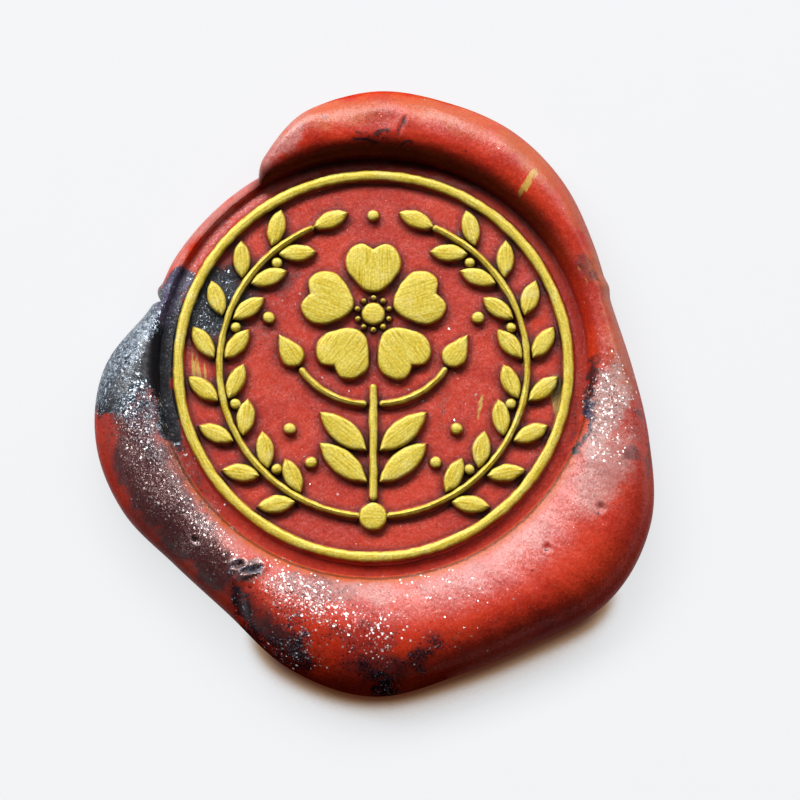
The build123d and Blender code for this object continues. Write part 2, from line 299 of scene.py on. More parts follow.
# Rim: at each direction its width beyond the wall, and its crest and the wall above the face
rim = {
    "directions": [122, 117, *range(105, -226, -15), -243],
    "widths": [
        *(0.85, 1.65, 3.4, 4.3, 4.2, 4.05, 3.4, 2.5, 2.05, 2.75, 4.3, 6.3, 7.1),
        *(6.42, 6.45, 7.05, 6.08, 4.42, 4.0, 4.5, 4.4, 3.35, 1.15, 0.95, 0.85, 0.85),
    ],
    "crests": [
        *(1.1, 1.5, 1.8, 1.85, 1.85, 1.8, 1.7, 1.5, 1.35, 1.4, 1.5, 1.6, 1.65),
        *(1.65, 1.6, 1.6, 1.55, 1.5, 1.55, 1.65, 1.7, 1.5, 0.75, 0.42, 0.34, 0.34),
    ],
    "walls": [
        *(0.6, 0.75, 0.8, 0.8, 0.8, 0.8, 0.8, 0.75, 0.7, 0.65, 0.6, 0.6, 0.6),
        *(0.6, 0.6, 0.6, 0.6, 0.6, 0.65, 0.7, 0.8, 0.75, 0.4, 0.2, 0.18, 0.18),
    ],
    "noseEnd": 122.0,                   # where the folded lip has closed, in degrees
    "noseStart": 118.0,
    # ridge on the nose: direction, half width in degrees, change of the crest's share and the flank's power
    "noseRidge": (113.0, 12.0, 0.24, -0.32),
    "steps": 1000,
    # a middle value and its change towards +X and towards +Y
    "crestShare": (0.45, 0.12, -0.11),  # where the crest lies across the width
    "slopePower": (2.15, 0.0, 0.45),    # how round the slope inside the crest is
    "flankPower": (1.0, 0.0, -0.12),    # how straight the flank outside it is, 1 being an oval
    "wallLean": 0.1,                    # how far the wall leans out at most, and as a share of the width
    "wallLeanShare": 0.15,
    "wallFoot": 0.12,                   # how far the wall goes on below the face
    "belly": 1.0,                       # height of the widest place
    "tuck": 0.35,                       # how far the foot lies inside it at most, and as a share of the width
    "tuckShare": 1 / 3,
    "coreHeights": (0.6, 1.3),          # the last points of a slice, out of sight under the face
    "slicePoints": {"wall": 11, "slope": 24, "flank": 32, "foot": 10, "back": 5},
    "roundings": 4,                     # how often a slice is smoothed, and up to which point
    "roundedTo": 73,
    # lumps: half their height, grain, seed
    "crestLumps": (0.03, 14.4, 5),      # with the grain in degrees
    "lumps": [(0.025, 2.2, 11), (0.006, 0.7, 12)],
    "lumpStart": (-0.3, 0.4),           # above the face, where lumps and dents start and where they are full
    # dents: middle x, y, half length, half width, turn in degrees, depth
    "dents": [
        (-7.45, -12.6, 0.85, 0.65, 10, -0.12),
        (-7.95, -12.3, 0.34, 0.2, 25, 0.36),
        (-7.15, -12.62, 0.55, 0.17, 22, 0.34),
        (-7.5, -12.95, 0.8, 0.2, 16, -0.08),
        (-10.5, -10.85, 0.26, 0.18, -40, 0.2),
        (10.3, -11.3, 0.24, 0.2, 0, 0.16),
        (13.5, -8.9, 0.22, 0.26, 0, 0.22),
        (1.7, 14.4, 0.6, 0.16, 68, 0.05),
        (0.2, 14.7, 1.1, 0.5, 5, 0.07),
        (-7.9, -14.4, 1.2, 0.3, 100, 0.14),
    ],
    "dentBrim": (0.25, 1.5, 0.5),       # what stands up round a dent: share of its depth, place, half width
    # nicks in the outline: direction, half width in degrees, depth
    "nicks": [(-197.8, 1.0, 0.42), (-200.6, 1.2, -0.12), (19.3, 1.8, -0.14)],
}


def alongRim(values, direction):
    # smooth cubic between the given values on either side of a direction, as in the solid model
    at = np.array(rim["directions"], float)
    values = np.array(values, float)
    place = np.clip(np.searchsorted(-at, -direction, side="right") - 1, 0, len(at) - 2)
    i0, i1, i2, i3 = np.clip(place - 1, 0, None), place, place + 1, np.clip(place + 2, None, len(at) - 1)
    span = at[i2] - at[i1]
    share = (np.clip(direction, at[-1], at[0]) - at[i1]) / span
    leaving = (values[i2] - values[i0]) / (at[i2] - at[i0]) * span
    arriving = (values[i3] - values[i1]) / (at[i3] - at[i1]) * span
    rise = values[i2] - values[i1]
    bend = share**2 * (3 * rise - 2 * leaving - arriving) + share**3 * (leaving + arriving - 2 * rise)
    return values[i1] + share * leaving + bend


def rimProfile(direction, width, crest, wall):
    # slices of the rim as radius and height: up the wall, a slope to the crest, an oval flank, a tucked foot,
    # home along the paper and up inside
    w, c, h = width[:, None], crest[:, None], wall[:, None]
    face, ringWall, core = levels["face"], levels["wall"], levels["core"]
    angle = np.radians(direction)[:, None]
    share, slopePower, flankPower = (
        rim[key][0] + rim[key][1] * np.cos(angle) + rim[key][2] * np.sin(angle)
        for key in ("crestShare", "slopePower", "flankPower")
    )
    noseAt, noseHalf, noseShare, noseFlank = rim["noseRidge"]
    atNose = np.exp(-((direction[:, None] - noseAt) / noseHalf) ** 4)
    share, flankPower = share + noseShare * atNose, flankPower + noseFlank * atNose
    footZ, belly = face - rim["wallFoot"], rim["belly"]
    brinkR, brinkZ = ringWall + np.minimum(rim["wallLean"], rim["wallLeanShare"] * w), face + h
    crestR, crestZ = ringWall + w * share, face + c
    bellyR = ringWall + w
    tuck = np.minimum(rim["tuck"], rim["tuckShare"] * w)
    count = rim["slicePoints"]
    up = np.linspace(0.0, 1.0, count["wall"])[None, :]
    slope = np.linspace(0.0, 1.0, count["slope"] + 1)[None, 1:]
    flank = np.linspace(0.0, math.pi / 2, count["flank"] + 1)[None, 1:]
    under = np.linspace(0.0, math.pi / 2, count["foot"] + 1)[None, 1:]
    home = np.linspace(0.0, 1.0, count["back"] + 1)[None, 1:]
    inside = np.array([rim["coreHeights"]])
    radius = np.concatenate([
        ringWall + (brinkR - ringWall) * up**2,
        brinkR + (crestR - brinkR) * slope,
        crestR + (bellyR - crestR) * np.sin(flank) ** flankPower,
        bellyR - tuck * (1.0 - np.cos(under)),
        bellyR - tuck + (core - bellyR + tuck) * home,
        core + 0.0 * w * inside,
    ], axis=1)
    height = np.concatenate([
        footZ + (brinkZ - footZ) * up,
        brinkZ + (crestZ - brinkZ) * (1.0 - (1.0 - slope) ** slopePower),
        belly + (crestZ - belly) * np.cos(flank) ** flankPower,
        belly * (1.0 - np.sin(under)) + 0.0 * w,
        0.0 * w * home,
        inside + 0.0 * w,
    ], axis=1)
    last = rim["roundedTo"]
    for _ in range(rim["roundings"]):
        for line in (radius, height):
            line[:, 1:last] = (line[:, :last - 1] + 2.0 * line[:, 1:last] + line[:, 2:last + 1]) / 4.0
    return radius, height


# Sheen of the rim: a pair is where a change starts and where it is full, and dull is how much shine it takes
sheen = {
    "brinkOut": (0.35, 0.3),            # the lit brink: how far outside the wall, half width
    "brinkY": (0.0, -9.0),
    "brinkDull": 0.5,
    "lipY": (3.0, 9.0),                 # the thick lip lies beyond these
    "lipX": (-7.8, -6.6),
    "lipOut": (2.5, 1.15),              # its shaded slope, outside the wall
    "lipDull": 0.7,
    "foldOut": (1.2, 0.3),              # the deep fold under it, which takes painted shade
    "ledgeY": (-7.0, -1.0),             # the ledge along the wall
    "ledgeOut": (0.9, 0.3),
    "ledgeDull": 0.92,
    "worn": [(88.0, 13.0, 0.35), (-97.0, 15.0, 0.4)],   # direction, half width in degrees, dull
    "lowerOut": (2.4, 3.8),             # the broad lower rim
    "lowerY": (-4.0, -10.0),
    "lowerX": (-8.0, -2.0),
    "lowerDull": 0.6,
    "flankDrop": (0.2, 1.4),            # the flank, by depth below the crest
    "flankDull": 0.93,
    "frostDrop": (1.0, 0.3),            # mica and plum wax thin out down the flank
    "plumDrop": (0.7, 1.5),
    "plumLoss": 0.5,
}


def rimSheen(radius, direction, x, y, height):
    # dullness adds up: the stronger of flank and lower rim, the brink, the strongest of lip, ledge and wear
    outside = radius - levels["wall"]
    crestAt = height.argmax(axis=1)[:, None]
    pastCrest = np.arange(height.shape[1]) > crestAt
    drop = (np.take_along_axis(height, crestAt, 1) - height) * pastCrest
    brinkAt, brinkHalf = sheen["brinkOut"]
    brink = np.exp(-(((outside - brinkAt) / brinkHalf) ** 2)) * smooth(y, *sheen["brinkY"])
    lip = smooth(y, *sheen["lipY"]) * smooth(x, *sheen["lipX"])
    ledge = sheen["ledgeDull"] * smooth(y, *sheen["ledgeY"]) * smooth(outside, *sheen["ledgeOut"])
    inner = np.maximum(sheen["lipDull"] * lip * smooth(outside, *sheen["lipOut"]), ledge)
    for at, half, dull in sheen["worn"]:
        inner = np.maximum(inner, dull * np.exp(-((direction[:, None] - at) / half) ** 2))
    lower = smooth(outside, *sheen["lowerOut"]) * smooth(y, *sheen["lowerY"]) * smooth(x, *sheen["lowerX"])
    outer = np.maximum(sheen["flankDull"] * smooth(drop, *sheen["flankDrop"]), sheen["lowerDull"] * lower)
    return {
        "shine": 1.0 - np.clip(outer + sheen["brinkDull"] * brink + inner, 0.0, 1.0),
        "foldShade": lip * smooth(outside, *sheen["foldOut"]),
        "brink": brink,
        "frostLeft": smooth(drop, *sheen["frostDrop"]),
        "plumLeft": 1.0 - sheen["plumLoss"] * smooth(drop, *sheen["plumDrop"]),
    }


def makeRim():
    direction = np.linspace(rim["noseEnd"], rim["directions"][-1], rim["steps"])
    closing = np.clip((direction - rim["noseStart"]) / (rim["noseEnd"] - rim["noseStart"]), 0.0, 1.0)
    nose = np.sqrt(1.0 - closing**2)
    width, crest, wall = (alongRim(rim[key], direction) for key in ("widths", "crests", "walls"))
    lump, grain, seed = rim["crestLumps"]
    crest = crest - lump * (1.0 + wander(direction, 0.0 * direction, grain, seed))
    for at, half, depth in rim["nicks"]:
        width = width - depth * np.exp(-(((direction - at) / half) ** 2))
    radius, height = rimProfile(direction, width * nose, crest * nose, wall * nose)
    angle = np.radians(direction)[:, None]
    x, y = radius * np.cos(angle), radius * np.sin(angle)
    top = smooth(height - levels["face"], *rim["lumpStart"])
    for lump, grain, seed in rim["lumps"]:
        height = height - top * lump * (1.0 + wander(x, y, grain, seed))
    brimShare, brimAt, brimHalf = rim["dentBrim"]
    for *oval, depth in rim["dents"]:
        far = ovalDistance(x, y, *oval)
        brim = brimShare * np.exp(-(((far - brimAt) / brimHalf) ** 2))
        height = height - top * depth * (np.exp(-far**2) - brim)
    points = np.stack([x, y, height], -1).reshape(-1, 3)
    fields = marbling(points)
    look = {key: values.ravel() for key, values in rimSheen(radius, direction, x, y, height).items()}
    # the fold under the lip carries painted shade
    fields["shine"], fields["foldShade"] = look["shine"], look["foldShade"]
    # the lit brink turns orange as painted highlight
    fields["paintedLitWarmth"] = np.maximum(fields["paintedLitWarmth"], look["brink"])
    fields["micaHazeAndSheen"] = fields["micaHazeAndSheen"] * look["frostLeft"]
    fields["plumAndShade"] = fields["plumAndShade"] * look["plumLeft"]
    rows, columns = height.shape
    ends = [list(range(columns)), list(range((rows - 1) * columns, rows * columns))]
    faces = gridQuads(rows, columns, wrapColumns=True).tolist() + ends
    return putPiece("waxRim", points, faces, fields=fields)


# Pressed face: a disc with a flat back, a little uneven
face = {
    "rings": 110,
    "backRings": 12,
    "spokes": 560,
    "overlap": 0.6,                     # how far it runs on under the rim
    "edgeDepth": 0.4,                   # how thick it is there
    "coreHeight": 0.5,
    "edgeDip": 0.1,
    "ripples": [(0.018, 2.6, 21), (0.0054, 0.8, 22)],   # height, grain, seed
}


def makeFace():
    # a profile turned round the middle: face outwards, down inside the rim, and back along the paper
    angle = np.linspace(0.0, 2.0 * math.pi, face["spokes"], endpoint=False)[None, :]
    rings, core = face["rings"], levels["core"]
    edge = levels["wall"] + face["overlap"]
    out = np.concatenate([
        np.linspace(0.0, edge, rings + 1)[1:],
        [edge, core, core],
        np.linspace(core, 0.0, face["backRings"] + 2)[1:-1],
    ])
    level = np.concatenate([
        np.full(rings, levels["face"]),
        [levels["face"] - face["edgeDepth"], face["coreHeight"], 0.0],
        np.zeros(face["backRings"]),
    ])
    x, y = out[:, None] * np.cos(angle), out[:, None] * np.sin(angle)
    z = np.broadcast_to(level[:, None], x.shape).copy()
    for ripple, grain, seed in face["ripples"]:
        z[:rings] += ripple * wander(x[:rings], y[:rings], grain, seed)
    z[:rings] -= face["edgeDip"] * smooth(out[:rings, None], levels["ringOuter"], levels["wall"])
    # the two middles come last, and each is the hub of a fan
    middles = np.array([[0.0, 0.0, z[0].mean()], [0.0, 0.0, 0.0]])
    points = np.concatenate([np.stack([x, y, z], -1).reshape(-1, 3), middles])
    rows, columns = x.shape
    faces = gridQuads(rows, columns, wrapColumns=True).tolist()
    spoke = np.arange(columns)
    for hub, first in ((x.size, 0), (x.size + 1, (rows - 1) * columns)):
        fan = np.stack([np.full(columns, hub), first + spoke, first + (spoke + 1) % columns], -1)
        faces += fan.tolist()
    return putPiece("waxFace", points, faces, fields=marbling(points))


# Ornament, with the solid model's own sizes
ornament = {
    "ringWidth": 0.65,
    "gap": 0.3,
    "paintGap": 0.12,
    "branchWidth": 0.42,
    "tipTurn": 156.0,
    "leaf": (2.3, 1.1),
    "leafAngle": 36.0,
    "leafSpacing": 0.25,
    "berry": 0.32,
    "knot": 0.85,
    "petalCount": 5,
    "petalReach": 4.3,
    "petalShoulder": 2.5,
    "petalLobe": 0.9,
    "petalNotch": 0.3,
    "petalGap": 0.5,
    "disc": 0.7,
    "stamens": 10,
    "stamen": 0.17,
    "stemWidth": 0.5,
    "stemLeaf": (3.7, 1.5),
    "stemLeafAngle": 50.0,
    "stemLeafHeights": (1.1, 3.0),
    "stalkWidth": 0.42,
    "stalkDrop": 1.2,
    "stalkReach": 4.0,
    "stalkRise": 2.2,
    "bud": (2.3, 1.5),
    "pellet": 0.36,
    "pelletDirections": (25, -38, -58),
    "pelletInsets": (0.85, 1.45, 0.75),
    "leafSpine": 0.35,                  # how far a spine stops short of its ends, in widths
    "budSpine": 0.5,
    "petalSpine": (0.6, 0.45),          # in millimetres, at the base and at the notch
    # pulls of the curves round a petal: at its base, on either side of shoulder and lobe, at the notch
    "petalPulls": ((0.0, 1.9), 1.9, 2.4, (0.5, -1.9), (0.25, -0.95), (-0.45, -0.9)),
    # and round a bud: at the stalk, on either side of its widest place, at the tip
    "budPulls": ((0.0, 1.2), (1.2, 0.0), (1.3, 0.0), (1.1, -0.75)),
    "stalkTrim": 2.5,                   # degrees that a stalk's round end takes up
}
# points along each kind of edge
counts = {"leaf": 27, "curve": 14, "dot": 36, "cap": 8, "ring": 480, "branch": 150, "stem": 50, "stalk": 60}


def polar(direction, distance):
    # the point at a distance in a direction in degrees
    angle = math.radians(direction)
    return np.array([distance * math.cos(angle), distance * math.sin(angle)])


def island(edge, spine, place=(0.0, 0.0), turn=0.0, edgeUv=None, spineUv=None):
    # a raised shape: the points round its edge, and for each the point of its spine that it shrinks towards
    c, s = math.cos(math.radians(turn)), math.sin(math.radians(turn))
    spin = np.array([[c, s], [-s, c]])
    edgeUv, spineUv = (edge, spine) if edgeUv is None else (edgeUv, spineUv)
    return {"edge": edge @ spin + place, "spine": spine @ spin + place, "edgeUv": edgeUv, "spineUv": spineUv}


def mirrored(shapes):
    flip = np.array([-1.0, 1.0])
    return [{**shape, "edge": shape["edge"] * flip, "spine": shape["spine"] * flip} for shape in shapes]


def twoSided(curve, startInset, endInset):
    # edge from one side's curve and its mirror image over the X axis, with the axis as spine
    edge = np.concatenate([curve, (curve * [1.0, -1.0])[-2:0:-1]])
    onAxis = np.clip(edge[:, 0], curve[0, 0] + startInset, curve[-1, 0] - endInset)
    return edge, np.stack([onAxis, np.zeros(len(edge))], -1)


def leafShape(length, width, place, turn):
    # two arcs of a circle between the stalk end and the tip
    bow = (length**2 / 4 + width**2 / 4) / width
    inset = ornament["leafSpine"] * width
    x = length / 2 * (1.0 - np.cos(np.linspace(0.0, math.pi, counts["leaf"])))
    y = np.sqrt(bow**2 - (x - length / 2) ** 2) - bow + width / 2
    return island(*twoSided(np.stack([x, y], -1), inset, inset), place, turn)


def hermite(start, end, startPull, endPull):
    # cubic from start to end that leaves and arrives along the two pulls
    t = np.linspace(0.0, 1.0, counts["curve"])[:, None]
    start, end, startPull, endPull = (np.array(v, float) for v in (start, end, startPull, endPull))
    return (
        start * (1 + 2 * t) * (1 - t) ** 2
        + startPull * t * (1 - t) ** 2
        + end * t**2 * (3 - 2 * t)
        + endPull * t**2 * (t - 1)
    )


def petalShape(place, turn):
    # along the next petal's gap up to the shoulder, then round to the notched tip
    o = ornament
    spread = math.pi / o["petalCount"]
    side = np.array([math.cos(spread), math.sin(spread)])
    base = o["disc"] + 2 * o["stamen"] + 2 * o["paintGap"]
    out = o["petalShoulder"]
    shoulder = (out, out * math.tan(spread) - o["petalGap"] / 2 / math.cos(spread))
    lobe = (o["petalReach"], o["petalLobe"])
    notch = (o["petalReach"] - o["petalNotch"], 0.0)
    basePull, shoulderIn, shoulderOut, lobeIn, lobeOut, notchPull = o["petalPulls"]
    curve = np.concatenate([
        hermite((base, 0.0), shoulder, basePull, side * shoulderIn),
        hermite(shoulder, lobe, side * shoulderOut, lobeIn)[1:],
        hermite(lobe, notch, lobeOut, notchPull)[1:],
    ])
    return island(*twoSided(curve, *o["petalSpine"]), place, turn)


def budShape(place, turn):
    # round at the stalk, pointed at the tip
    length, width = ornament["bud"]
    inset = ornament["budSpine"] * width
    widest = (width / 2, width / 2)
    stalkPull, widestIn, widestOut, tipPull = ornament["budPulls"]
    curve = np.concatenate([
        hermite((0.0, 0.0), widest, stalkPull, widestIn),
        hermite(widest, (length, 0.0), widestOut, tipPull)[1:],
    ])
    return island(*twoSided(curve, inset, inset), place, turn)


def dotShape(radius, place):
    # a circle that shrinks to its middle
    angle = np.linspace(0.0, 2.0 * math.pi, counts["dot"], endpoint=False)
    edge = radius * np.stack([np.cos(angle), np.sin(angle)], -1)
    return island(edge, 0.0 * edge, np.array(place))


def lineShape(path, width):
    # a path with half its width to either side and round ends; its spine is the path itself
    tangent = np.gradient(path, axis=0)
    tangent /= np.linalg.norm(tangent, axis=1, keepdims=True)
    normal = np.stack([-tangent[:, 1], tangent[:, 0]], -1)
    travel = np.concatenate([[0.0], np.cumsum(np.linalg.norm(np.diff(path, axis=0), axis=1))])
    half = width / 2
    swing = np.linspace(0.0, math.pi, counts["cap"] + 2)[1:-1, None]
    capEnd = path[-1] + half * (normal[-1] * np.cos(swing) + tangent[-1] * np.sin(swing))
    capStart = path[0] - half * (normal[0] * np.cos(swing) + tangent[0] * np.sin(swing))
    edge = np.concatenate([path + half * normal, capEnd, (path - half * normal)[::-1], capStart])
    ones = np.ones((len(swing), 1))
    spine = np.concatenate([path, ones * path[-1], path[::-1], ones * path[0]])
    along = np.concatenate([travel, ones[:, 0] * travel[-1], travel[::-1], 0.0 * ones[:, 0]])
    alongSide, roundCap = np.full(len(path), half), half * np.cos(swing[:, 0])
    side = np.concatenate([alongSide, roundCap, -alongSide, -roundCap])
    return island(edge, spine, edgeUv=np.stack([along, side], -1), spineUv=np.stack([along, 0.0 * side], -1))


def arcPath(middle, radius, start, end, count):
    angle = np.radians(np.linspace(start, end, count))
    return np.array(middle) + radius * np.stack([np.cos(angle), np.sin(angle)], -1)


def ringShapes():
    # the ring's outer and inner half, which meet on its middle circle
    radius = levels["ringOuter"] - ornament["ringWidth"] / 2
    angle = np.linspace(0.0, 2.0 * math.pi, counts["ring"], endpoint=False)
    circle = np.stack([np.cos(angle), np.sin(angle)], -1)
    halves = []
    for side in (0.5, -0.5):
        across = side * ornament["ringWidth"]
        edgeUv = np.stack([angle * radius, 0.0 * angle + across], -1)
        edge, spine = circle * (radius + across), circle * radius
        halves.append(island(edge, spine, edgeUv=edgeUv, spineUv=edgeUv * [1.0, 0.0]))
    return halves


def layOut():
    # every raised shape, by the solid model's nodes
    o = ornament
    leafLength, leafWidth = o["leaf"]
    ringInner = levels["ringOuter"] - o["ringWidth"]
    leafRise = leafLength * math.sin(math.radians(o["leafAngle"]))
    leafRun = leafLength * math.cos(math.radians(o["leafAngle"]))
    leafRoot = o["branchWidth"] / 2 + o["paintGap"]
    branchRadius = math.sqrt((ringInner - o["gap"]) ** 2 - leafRun**2) - leafRise - leafRoot
    fieldRadius = math.hypot(branchRadius - leafRoot - leafRise, leafRun)
    knotTurn = math.degrees((o["knot"] + o["paintGap"]) / branchRadius)
    pitch = math.degrees((leafLength + o["leafSpacing"]) / branchRadius)
    pairs = int((o["tipTurn"] - knotTurn - pitch / 2) // pitch)
    turns = [o["tipTurn"] - pitch * (pair + 1) for pair in range(pairs)]
    berryLag = math.degrees((o["berry"] + o["paintGap"]) / branchRadius)
    tipLeaf = o["tipTurn"] + math.degrees(o["paintGap"] / branchRadius)

    leaves = [leafShape(leafLength, leafWidth, polar(tipLeaf - 90, branchRadius), o["tipTurn"])]
    for turn in turns:
        for side in (1, -1):
            root = polar(turn - 90, branchRadius + side * leafRoot)
            leaves.append(leafShape(leafLength, leafWidth, root, turn - side * o["leafAngle"]))
    branchPath = arcPath((0, 0), branchRadius, knotTurn - 90, o["tipTurn"] - 90, counts["branch"])
    branch = [lineShape(branchPath, o["branchWidth"])]
    berryCircle = branchRadius - leafRoot - o["berry"]
    berries = [dotShape(o["berry"], polar(turn - berryLag - 90, berryCircle)) for turn in turns[::2]]

    middle = np.array([0.0, fieldRadius - o["gap"] - o["petalReach"]])
    petals = [petalShape(middle, 90 + 360 / o["petalCount"] * k) for k in range(o["petalCount"])]
    stamenCircle = o["disc"] + o["paintGap"] + o["stamen"]
    centre = [dotShape(o["disc"], middle)] + [
        dotShape(o["stamen"], middle + polar(90 + 360 / o["stamens"] * k, stamenCircle))
        for k in range(o["stamens"])
    ]

    stemFoot, stemTop = -branchRadius + o["knot"] + o["paintGap"], middle[1] - o["petalReach"]
    stemSide = o["stemWidth"] / 2 + o["paintGap"]
    inset = o["stemWidth"] / 2
    stemY = np.linspace(stemFoot + inset, stemTop - inset, counts["stem"])
    stem = [lineShape(np.stack([np.zeros_like(stemY), stemY], -1), o["stemWidth"])]
    stemLeaves = [
        leafShape(*o["stemLeaf"], np.array([stemSide, stemFoot + height]), 90 - o["stemLeafAngle"])
        for height in o["stemLeafHeights"]
    ]
    bend = (o["stalkReach"] ** 2 + o["stalkRise"] ** 2) / (2 * o["stalkRise"])
    heading = math.degrees(2 * math.atan2(o["stalkRise"], o["stalkReach"]))
    stalkFoot = np.array([stemSide, stemTop - o["stalkDrop"]])
    startTurn, endTurn = o["stalkTrim"] - 90, heading - 90 - o["stalkTrim"]
    stalkPath = arcPath(stalkFoot + [0.0, bend], bend, startTurn, endTurn, counts["stalk"])
    budPlace = stalkFoot + [o["stalkReach"], o["stalkRise"]] + polar(heading, o["paintGap"])
    stalk, bud = [lineShape(stalkPath, o["stalkWidth"])], [budShape(budPlace, heading)]
    pellets = [
        dotShape(o["pellet"], polar(direction, fieldRadius - depth))
        for direction, depth in zip(o["pelletDirections"], o["pelletInsets"])
    ]
    return {
        "gold_border_ring": ringShapes(),
        "gold_knot": [dotShape(o["knot"], (0.0, -branchRadius))],
        "gold_right_branch": branch,
        "gold_left_branch": mirrored(branch),
        "gold_right_leaves": leaves,
        "gold_left_leaves": mirrored(leaves),
        "gold_berries": berries + mirrored(berries),
        "gold_flower_petals": petals,
        "gold_flower_centre": centre,
        "gold_flower_stem": stem,
        "gold_stem_leaves": stemLeaves + mirrored(stemLeaves),
        "gold_buds": bud + mirrored(bud),
        "gold_bud_stalks": stalk + mirrored(stalk),
        "gold_pellets": pellets + mirrored(pellets) + [dotShape(o["pellet"], (0.0, branchRadius))],
    }


# Slices of a raised shape, as inset from its edge, share of the way on to the spine, height above the face
slices = {
    "wax": [
        (-0.14, 1.0, -0.2),
        (-0.14, 0.0, -0.2),
        (-0.14, 0.0, -0.02),
        (-0.07, 0.0, 0.015),
        (-0.025, 0.0, 0.08),
        (0.015, 0.0, 0.2),
        (0.05, 0.0, 0.29),
        (0.12, 0.0, 0.34),
        (0.2, 0.0, 0.36),
        (0.2, 1.0, 0.36),
    ],
    "paint": [
        (0.08, 1.0, 0.2),
        (0.08, 0.0, 0.2),
        (0.004, 0.0, 0.22),
        (0.006, 0.0, 0.28),
        (0.02, 0.0, 0.34),
        (0.055, 0.0, 0.4),
        (0.11, 0.0, 0.45),
        (0.18, 0.0, 0.475),
        (0.18, 0.35, 0.488),
        (0.18, 0.7, 0.497),
        (0.18, 1.0, 0.5),
    ],
    "wobbles": [(0.021, 0.9, 31), (0.021, 3.0, 32)],    # how far the painted edge strays: reach, grain, seed
    "runDown": (0.08, 1.6, 33),         # how far the paint runs down the flank, or stops short
    "runShares": (1.0, 1.0, 0.5),       # how much of that the lowest slices take, after the first one
    "deepest": 0.9,                     # no inset goes further towards the spine than this share of the way
    "strokeStep": 17.3,                 # keeps the brush marks of one shape off the next
}


def raiseShapes(name, shapes, kind):
    # each edge carried inwards and upwards through the slices, to a welded ridge on the spine
    inset, share, height = np.array(slices[kind]).T[:, :, None]
    points, faces, uv, count = [], [], [], 0
    for number, shape in enumerate(shapes):
        edge, spine = shape["edge"], shape["spine"]
        reach = np.linalg.norm(spine - edge, axis=1)
        inwards = (spine - edge) / reach[:, None]
        stray, z = inset, height + 0.0 * reach
        if kind == "paint":
            loose = sum(far * wander(*edge.T, grain, seed) for far, grain, seed in slices["wobbles"])
            stray = inset + loose * (share < 1.0)
            far, grain, seed = slices["runDown"]
            runShare = np.array(slices["runShares"])[:, None]
            z[1:1 + len(runShare)] += far * wander(*edge.T, grain, seed) * runShare
        near = np.minimum(stray, slices["deepest"] * reach)
        onward = near + share * (reach - near)
        flat = edge + inwards * onward[..., None]
        stroke = shape["edgeUv"] + (shape["spineUv"] - shape["edgeUv"]) * (onward / reach)[..., None]
        points.append(np.concatenate([flat, z[..., None] + levels["face"]], -1).reshape(-1, 3))
        uv.append(stroke.reshape(-1, 2) + slices["strokeStep"] * number)
        faces.append(gridQuads(len(z), len(edge), wrapColumns=True, first=count))
        count += z.size
    points, uv = np.concatenate(points), np.concatenate(uv)
    fields = marbling(points) if kind == "wax" else None
    return putPiece(name, points, np.concatenate(faces).tolist(), uv=uv, weld=True, fields=fields)


# Materials
def linear(red, green, blue):
    # a colour given as 0 to 255 on screen, as the shader's own numbers
    share = np.array([red, green, blue]) / 255.0
    return (*np.where(share < 0.04045, share / 12.92, ((share + 0.055) / 1.055) ** 2.4), 1.0)


def addNode(tree, kind, inputs=None, **settings):
    node = tree.nodes.new("ShaderNode" + kind)
    for key, value in settings.items():
        setattr(node, key, value)
    for key, value in (inputs or {}).items():
        if isinstance(value, bpy.types.NodeSocket):
            tree.links.new(value, node.inputs[key])
        else:
            node.inputs[key].default_value = value
    return node


def sums(tree, operation, first, second=0.0, third=0.0):
    return addNode(tree, "Math", {0: first, 1: second, 2: third}, operation=operation).outputs[0]


def times(tree, first, second):
    return sums(tree, "MULTIPLY", first, second)


def centred(tree, value):
    # 0 to 1 moved down to -0.5 to 0.5
    return sums(tree, "SUBTRACT", value, 0.5)


def strongest(tree, first, *others):
    for other in others:
        first = sums(tree, "MAXIMUM", first, other)
    return first


def vectors(tree, operation, first, second=None):
    # second is a vector, or a number for SCALE
    inputs = {0: first}
    if second is not None:
        inputs["Scale" if operation == "SCALE" else 1] = second
    outputs = addNode(tree, "VectorMath", inputs, operation=operation).outputs
    return outputs["Value" if operation in ("LENGTH", "DOT_PRODUCT") else "Vector"]


def fade(tree, value, low, high, start=0.0, end=1.0):
    ends = {"Value": value, "From Min": low, "From Max": high, "To Min": start, "To Max": end}
    return addNode(tree, "MapRange", ends, interpolation_type="SMOOTHSTEP").outputs[0]


def blendColour(tree, factor, first, second):
    return addNode(tree, "Mix", {0: factor, 6: first, 7: second}, data_type="RGBA").outputs[2]


def noise(tree, place, scale, detail=3.0, roughness=0.55, warp=0.0):
    inputs = {"Vector": place, "Scale": scale, "Detail": detail, "Roughness": roughness, "Distortion": warp}
    return addNode(tree, "TexNoise", inputs).outputs["Fac"]


def field(tree, name):
    return addNode(tree, "Attribute", attribute_name=name).outputs["Fac"]


def newMaterial(name):
    material = bpy.data.materials.new(name)
    material.use_nodes = True
    tree = material.node_tree
    tree.nodes.clear()
    out = addNode(tree, "OutputMaterial")
    shader = addNode(tree, "BsdfPrincipled")
    tree.links.new(shader.outputs[0], out.inputs[0])
    # place in millimetres, so that scales read as waves to the millimetre
    place = addNode(tree, "TexCoord").outputs["Object"]
    place = addNode(tree, "Mapping", {"Vector": place, "Scale": (1 / mm, 1 / mm, 1 / mm)}).outputs[0]
    return material, tree, shader, place


